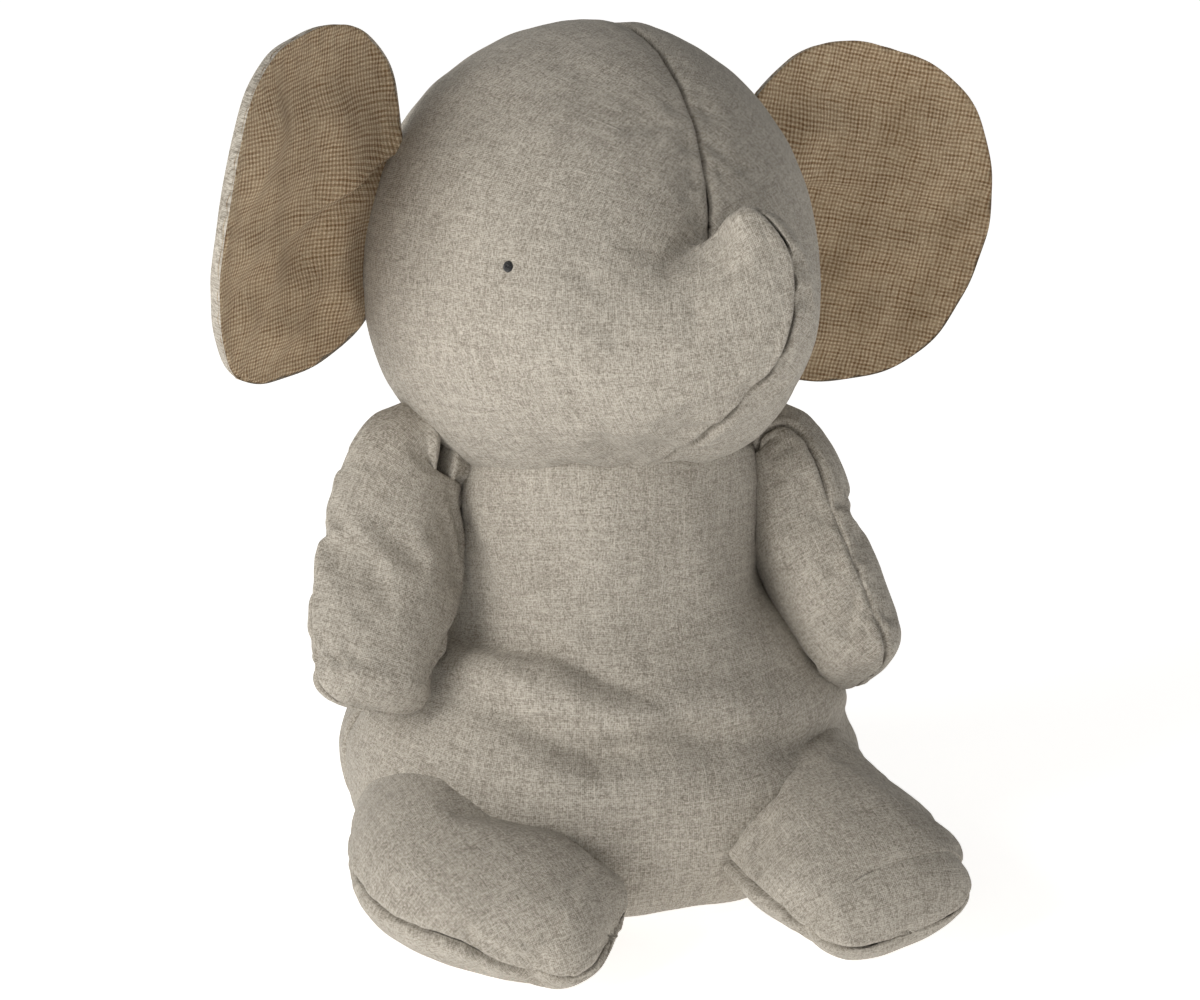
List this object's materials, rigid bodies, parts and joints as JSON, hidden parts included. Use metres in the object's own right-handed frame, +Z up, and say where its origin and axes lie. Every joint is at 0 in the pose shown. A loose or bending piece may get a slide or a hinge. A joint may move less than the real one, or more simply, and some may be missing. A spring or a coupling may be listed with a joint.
{
  "type": "stuffed elephant",
  "caption": "Seated soft elephant sewn from linen panels over wadding, with an upturned trunk, large cupped ears and limbs, head, trunk, ears and tail that move.",
  "frame": {"origin": "middle of the flat patch the torso sits on", "axes": "+Z up, the toy's front faces -Y, its right side is -X"},
  "size_m": [0.3477, 0.2557, 0.3482],
  "materials": {
    "linen": "matte",
    "check_cloth": "matte",
    "wadding": "matte",
    "pellets": "matte",
    "eye_thread": "satin"
  },
  "bodies": {
    "torso": {"torso_front_panel": "linen", "torso_back_left_panel": "linen", "torso_back_right_panel": "linen", "torso_stuffing": "wadding", "seat_pellet_pouch": "pellets"},
    "neck": {"neck_stuffing": "wadding"},
    "head": {"head_left_panel": "linen", "head_right_panel": "linen", "head_stuffing": "wadding", "eye_left": "eye_thread", "eye_right": "eye_thread"},
    "trunk": {"trunk_left_panel": "linen", "trunk_right_panel": "linen", "trunk_stuffing": "wadding"},
    "ear_left": {"ear_left_front": "check_cloth", "ear_left_back": "linen", "ear_left_wadding": "wadding"},
    "ear_right": {"ear_right_front": "check_cloth", "ear_right_back": "linen", "ear_right_wadding": "wadding"},
    "arm_left": {"arm_left_outer_panel": "linen", "arm_left_inner_panel": "linen", "arm_left_stuffing": "wadding"},
    "arm_right": {"arm_right_outer_panel": "linen", "arm_right_inner_panel": "linen", "arm_right_stuffing": "wadding"},
    "leg_left": {"leg_left_upper_panel": "linen", "leg_left_under_panel": "linen", "leg_left_stuffing": "wadding"},
    "leg_right": {"leg_right_upper_panel": "linen", "leg_right_under_panel": "linen", "leg_right_stuffing": "wadding"},
    "tail": {"tail_cord": "linen", "tail_tuft": "linen"}
  },
  "joints": [
    {"name": "neck_nod", "type": "hinge", "parent": "torso", "child": "neck", "pos_m": [0, 0.013, 0.1715], "axis": [1, 0, 0], "range_deg": [-8, 8], "stiffness_Nm_per_rad": 6},
    {"name": "neck_turn", "type": "hinge", "parent": "neck", "child": "head", "pos_m": [0, 0.013, 0.1715], "axis": [0, 0.2689, 0.9632], "range_deg": [-40, 6]},
    {"name": "trunk_bend", "type": "hinge", "parent": "head", "child": "trunk", "pos_m": [0.01929, -0.04259, 0.23131], "axis": [0.9249, 0.3185, -0.2079], "range_deg": [-9, 9], "stiffness_Nm_per_rad": 0.6},
    {"name": "ear_left_flap", "type": "hinge", "parent": "head", "child": "ear_left", "pos_m": [0.06121, 0.09211, 0.24832], "axis": [0.1966, 0.0677, 0.9781], "range_deg": [-12, 12], "stiffness_Nm_per_rad": 0.25},
    {"name": "ear_right_flap", "type": "hinge", "parent": "head", "child": "ear_right", "pos_m": [-0.08493, 0.03869, 0.27321], "axis": [0.1966, 0.0677, 0.9781], "range_deg": [-12, 12], "stiffness_Nm_per_rad": 0.25},
    {"name": "arm_left_swing", "type": "hinge", "parent": "torso", "child": "arm_left", "pos_m": [0.076, 0.01, 0.15], "axis": [1, 0, 0], "range_deg": [-60, 3]},
    {"name": "arm_right_swing", "type": "hinge", "parent": "torso", "child": "arm_right", "pos_m": [-0.076, 0.01, 0.15], "axis": [1, 0, 0], "range_deg": [-60, 3]},
    {"name": "leg_left_swing", "type": "hinge", "parent": "torso", "child": "leg_left", "pos_m": [0.066, -0.038, 0.042], "axis": [1, 0, 0], "range_deg": [-9, 5]},
    {"name": "leg_right_swing", "type": "hinge", "parent": "torso", "child": "leg_right", "pos_m": [-0.066, -0.038, 0.042], "axis": [1, 0, 0], "range_deg": [-9, 5]},
    {"name": "tail_swing", "type": "hinge", "parent": "torso", "child": "tail", "pos_m": [0, 0.09373, 0.062], "axis": [1, 0, 0], "range_deg": [-8, 35]}
  ]
}
